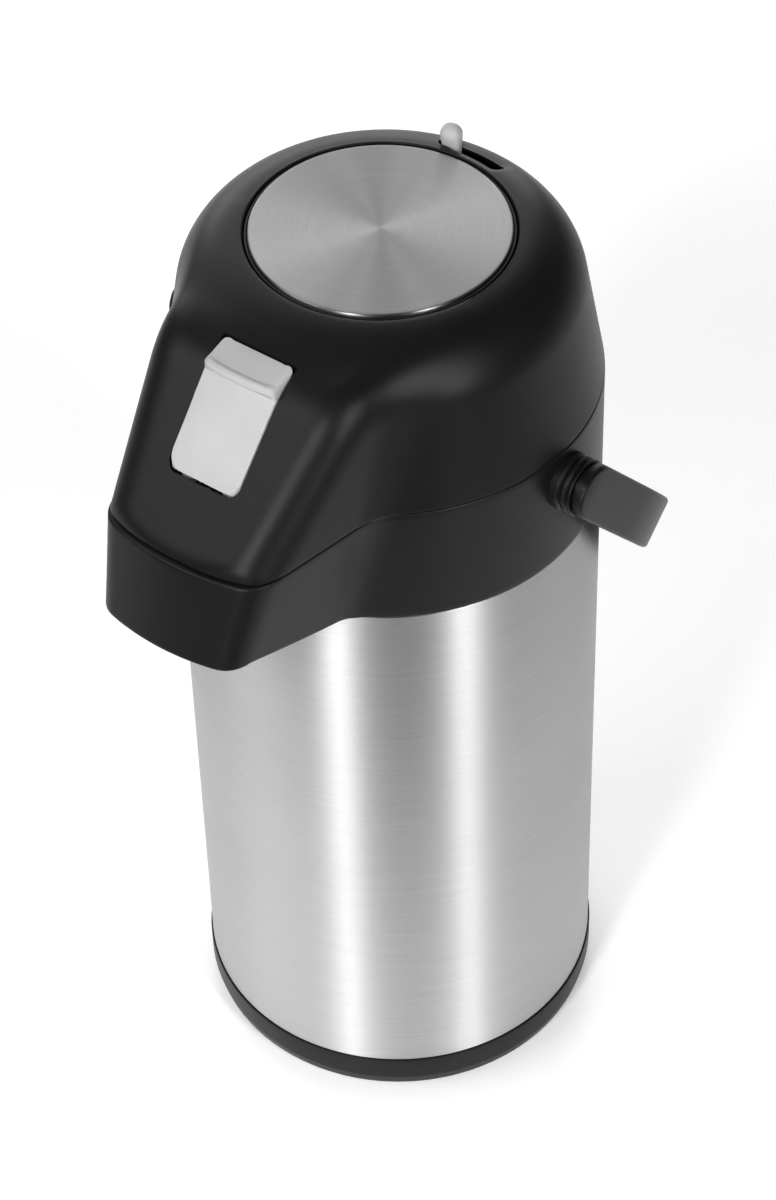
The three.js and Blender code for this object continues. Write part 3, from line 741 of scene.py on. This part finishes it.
def add_pouring_tube():
    """The clear tube from the stopper to the nozzle, with one bend over the nozzle."""
    bend = 9
    path = [((-8 + (NOZZLE_Y + bend + 8) * i / 8, POUR_Z), 0) for i in range(9)]
    for i in range(1, 17):
        t = math.pi / 2 * i / 16
        path.append(((NOZZLE_Y + bend * (1 - math.sin(t)), POUR_Z - bend * (1 - math.cos(t))), t))
    path.append(((NOZZLE_Y, 293.5), math.pi / 2))
    outer, inner = [], []
    for (y, z), t in path:
        for radius, loops in ((POUR_R, outer), (POUR_R - 1.3, inner)):
            ring = arc(0, 0, radius, 0, 345, 24)
            loops.append([(u, y - v * math.sin(t), z + v * math.cos(t)) for u, v in ring])
    make_object("spout_tube", *loop_skin([*outer, *reversed(inner)]), CLEAR, "base", ["pour_tube"])
    tip = turned([(5.4, 289, 0.5), (7, 289, 0.6), (8.2, 292.5), (8.2, 300), (5.4, 300)], 0.3, 64)
    make_object("spout", *placed(tip, Matrix.Translation((0, NOZZLE_Y, 0))), INNER, "base", ["nozzle"])


# ---- Latch, hinge and lock knob ----
def melted(shape, voxel, rounds):
    """Several solids made into one with soft edges. voxel is in millimetres."""
    piece = bare_object(shape)
    remesh = piece.modifiers.new("remesh", "REMESH")
    remesh.mode = "VOXEL"
    remesh.voxel_size = voxel * MM
    smooth = piece.modifiers.new("smooth", "SMOOTH")
    smooth.factor = 0.5
    smooth.iterations = rounds
    apply_modifiers(piece, 80)
    verts = [tuple(v.co / MM) for v in piece.data.vertices]
    faces = [tuple(f.vertices) for f in piece.data.polygons]
    bpy.data.objects.remove(piece)
    return verts, faces


def latch_lip():
    """The finger lip: dished on top, bowed forward in the middle and rounded at its sides."""
    half = 15.2
    loops = []
    for i in range(41):
        turn = math.pi * i / 40
        x = -half * math.cos(turn)
        near_side = max(0, abs(x) - (half - 3)) / 3
        tuck = 2.2 * (1 - math.sqrt(max(0, 1 - near_side ** 2)))
        middle = 1 - (x / half) ** 2
        dish = 1.3 * min(1, 2 * middle)
        front, back = -83.2 - 1.1 * middle + tuck, -70 - tuck
        side = fillet([
            (back, 387 - tuck - dish, 0.4), (front + 3.4, 385.6 - tuck - dish, 2),
            (front + 1.3, 385.3 - tuck, 0.8), (front, 384.8 - tuck, 1), (front - 0.1, 382.7 - 0.3 * tuck, 1),
            (-82.2, 380.4, 1.2), (-80.4, 378, 0.4), (back, 380.6, 0.4)], 1)
        loops.append([(x, y, z) for y, z in side])
    return loop_skin(loops, close_ends=True)


def add_latch():
    plate_side = [on_slope(-1.5, -1.4), on_slope(35.3, -1.4), on_slope(35.3, 0.7), on_slope(-1.5, 0.9)]
    plate = both(side_prism(plate_side, -16, 16), flat_prism(latch_plan(15.8, 15, 6, -106.1), 340, 395))
    arm_side = [
        on_slope(8, 0), on_slope(31, 0), on_slope(32.8, -2.6), (-106.5, 336), (-106.8, 322), (-107.3, 320),
        (-106.8, 318), (-104, 317), (-103, 335), (-95.8, 344), (-95.8, 351), (-84.5, 368.5),
    ]
    arms = [side_prism(arm_side, -11, -7), side_prism(arm_side, 7, 11)]
    lay_flat = Matrix.Rotation(-math.atan(SLOPE), 4, "X")
    shape = melted(placed(joined(plate, latch_lip(), *arms), lay_flat), 0.25, 7)
    shape = placed(shape, lay_flat.inverted())
    latch = make_object("latch_lever", *shape, PALE_GREY, "latch", ["latch"], sharp=80)
    across = Matrix.Translation((0, *LATCH_PIVOT)) @ Matrix.Rotation(math.pi / 2, 4, "Y")
    cut(latch, placed(turned([(0, -20), (1.8, -20), (1.8, 20), (0, 20)], 0, 32), across))


def add_hinge():
    """The two leaves at the rear, each with its knuckles run into it."""
    across = Matrix.Translation((0, *HINGE)) @ Matrix.Rotation(math.pi / 2, 4, "Y")

    def barrel(x0, x1, radius=4):
        return placed(turned([(0, x0), (radius, x0), (radius, x1), (0, x1)], 0, 64), across)

    lid_side = [(80.9, 333.4), (HINGE[0], 331), (88, 335), (84.6, 344), (80.8, 348), (79, 347.4)]
    ear_side = [(80.9, 320), (84, 318), (88.6, 331), (88, 334), (82, 334), (80.9, 331)]
    leaf_side = [(80.9, 311), (84, 311), (84, 328), (80.9, 328)]
    lid_leaf = [side_prism(lid_side, -9.5, 9.5), barrel(-9.5, 9.5)]
    body_leaf = [side_prism(leaf_side, -19, 19)]
    for x0, x1 in ((-19, -10), (10, 19)):
        body_leaf += [side_prism(ear_side, x0, x1), barrel(x0, x1)]
    for name, parts, body, node in (
        ("lid_leaf", lid_leaf, "lid", "hinge_leaf_lid"), ("body_leaf", body_leaf, "base", "hinge_leaf_body"),
    ):
        leaf = make_object(name, *melted(joined(*parts), 0.25, 5), BLACK, body, [node], sharp=60)
        cut(leaf, barrel(-30, 30, 2.1))


def add_knob():
    """The lock's thumb knob: a stem in the slot that swells into a rounded head."""
    loops = []
    profile = [(386.4, 3.7, 2.2), (392.5, 3.7, 2.3), (394.2, 3.9, 2.9), (396.2, 4.1, 3.5)]
    dome = [(396.6 + 4 * math.sin(a), 4.1 * math.cos(a), 3.6 * math.cos(a))
            for a in [math.radians(9 * i) for i in range(1, 10)]]
    for z, half_x, half_y in profile + dome:
        power = 0.62 if z < 396 else 0.82
        loop = []
        for i in range(40):
            a = 2 * math.pi * i / 40
            c, s = math.cos(a), math.sin(a)
            loop.append((half_x * math.copysign(abs(c) ** power, c),
                         LOCK_R + half_y * math.copysign(abs(s) ** power, s), z))
        loops.append(loop)
    shape = placed(loop_skin(loops, close_ends=True), Matrix.Rotation(math.radians(LOCK_REST), 4, "Z"))
    make_object("lock_thumb", *shape, PALE_GREY, "lock", ["lock_knob"], sharp=70)


# ---- Studio ----
def add_floor():
    """A white table that glows though it is no lamp, as painted light, and whose colour and glow fall off
    into grey well in front of the pot, past the picture's edge, as painted shade.
    """
    n = Nodes("floor_glow_painted_shade")
    heading = math.radians(CAMERA_HEADING)
    ahead = (math.sin(heading), -math.cos(heading), 0)
    along = n.add("ShaderNodeVectorMath", {0: n.place(), 1: ahead}, operation="DOT_PRODUCT").outputs["Value"]
    # Painted shade: the floor's colour and glow fall from white to grey with distance ahead of the pot.
    fall = {"Value": along, "From Min": 0.17, "From Max": 0.5, "To Min": 1, "To Max": FLOOR_FAR_PAINTED_SHADE}
    bright = n.add("ShaderNodeMapRange", fall, interpolation_type="SMOOTHSTEP").outputs["Result"]
    glow = n.add("ShaderNodeMath", {0: bright, 1: FLOOR_GLOW}, operation="MULTIPLY").outputs[0]
    n.set(Base_Color=n.grey(bright), Roughness=0.2, Emission_Color=(1, 1, 1, 1), Emission_Strength=glow)
    mesh = bpy.data.meshes.new("floor")
    half = 12
    corners = [(-half, -half, 0), (half, -half, 0), (half, half, 0), (-half, half, 0)]
    mesh.from_pydata(corners, [], [(0, 1, 2, 3)])
    mesh.materials.append(n.material)
    floor = bpy.data.objects.new("floor", mesh)
    bpy.context.scene.collection.objects.link(floor)


def add_softbox(name, azimuth, elevation, distance, width, height, power):
    """An area light aimed at the pot's middle. Azimuth 0 is in front of the beak, 90 is on its right."""
    data = bpy.data.lights.new(name, "AREA")
    data.shape = "RECTANGLE"
    data.size = width
    data.size_y = height
    data.energy = power
    lamp = bpy.data.objects.new(name, data)
    bpy.context.scene.collection.objects.link(lamp)
    a, e = math.radians(azimuth), math.radians(elevation)
    away = Vector((math.sin(a) * math.cos(e), -math.cos(a) * math.cos(e), math.sin(e)))
    lamp.location = Vector((0, 0, 0.2)) + away * distance
    lamp.rotation_mode = "QUATERNION"
    lamp.rotation_quaternion = away.to_track_quat("Z", "Y")


def add_studio():
    scene = bpy.context.scene
    scene.view_settings.view_transform = "Standard"
    world = bpy.data.worlds.new("studio")
    world.use_nodes = True
    world.node_tree.nodes["Background"].inputs["Color"].default_value = (1, 1, 1, 1)
    world.node_tree.nodes["Background"].inputs["Strength"].default_value = 0.08
    scene.world = world
    add_floor()
    add_softbox("left_box", CAMERA_HEADING - 26, 25, 1.6, 0.26, 1.2, 15)
    add_softbox("right_box", CAMERA_HEADING + 34, 25, 1.6, 0.26, 1.2, 13)
    add_softbox("back_low", CAMERA_HEADING + 185, 15, 2.2, 2.4, 0.9, 20)
    add_softbox("back_high", CAMERA_HEADING + 190, 46, 2.0, 2.0, 0.8, 10)
    add_softbox("left_fill", -34, 40, 1.8, 1.0, 0.8, 9)


add_camera()
add_studio()
finish_nodes()
add_lid()
add_collar()
add_turned_pieces()
add_handle()
add_boss(-1, "left")
add_boss(1, "right")
add_latch()
add_hinge()
add_knob()
add_inner_rings()
add_bellows_and_spring()
add_stopper()
add_pouring_tube()
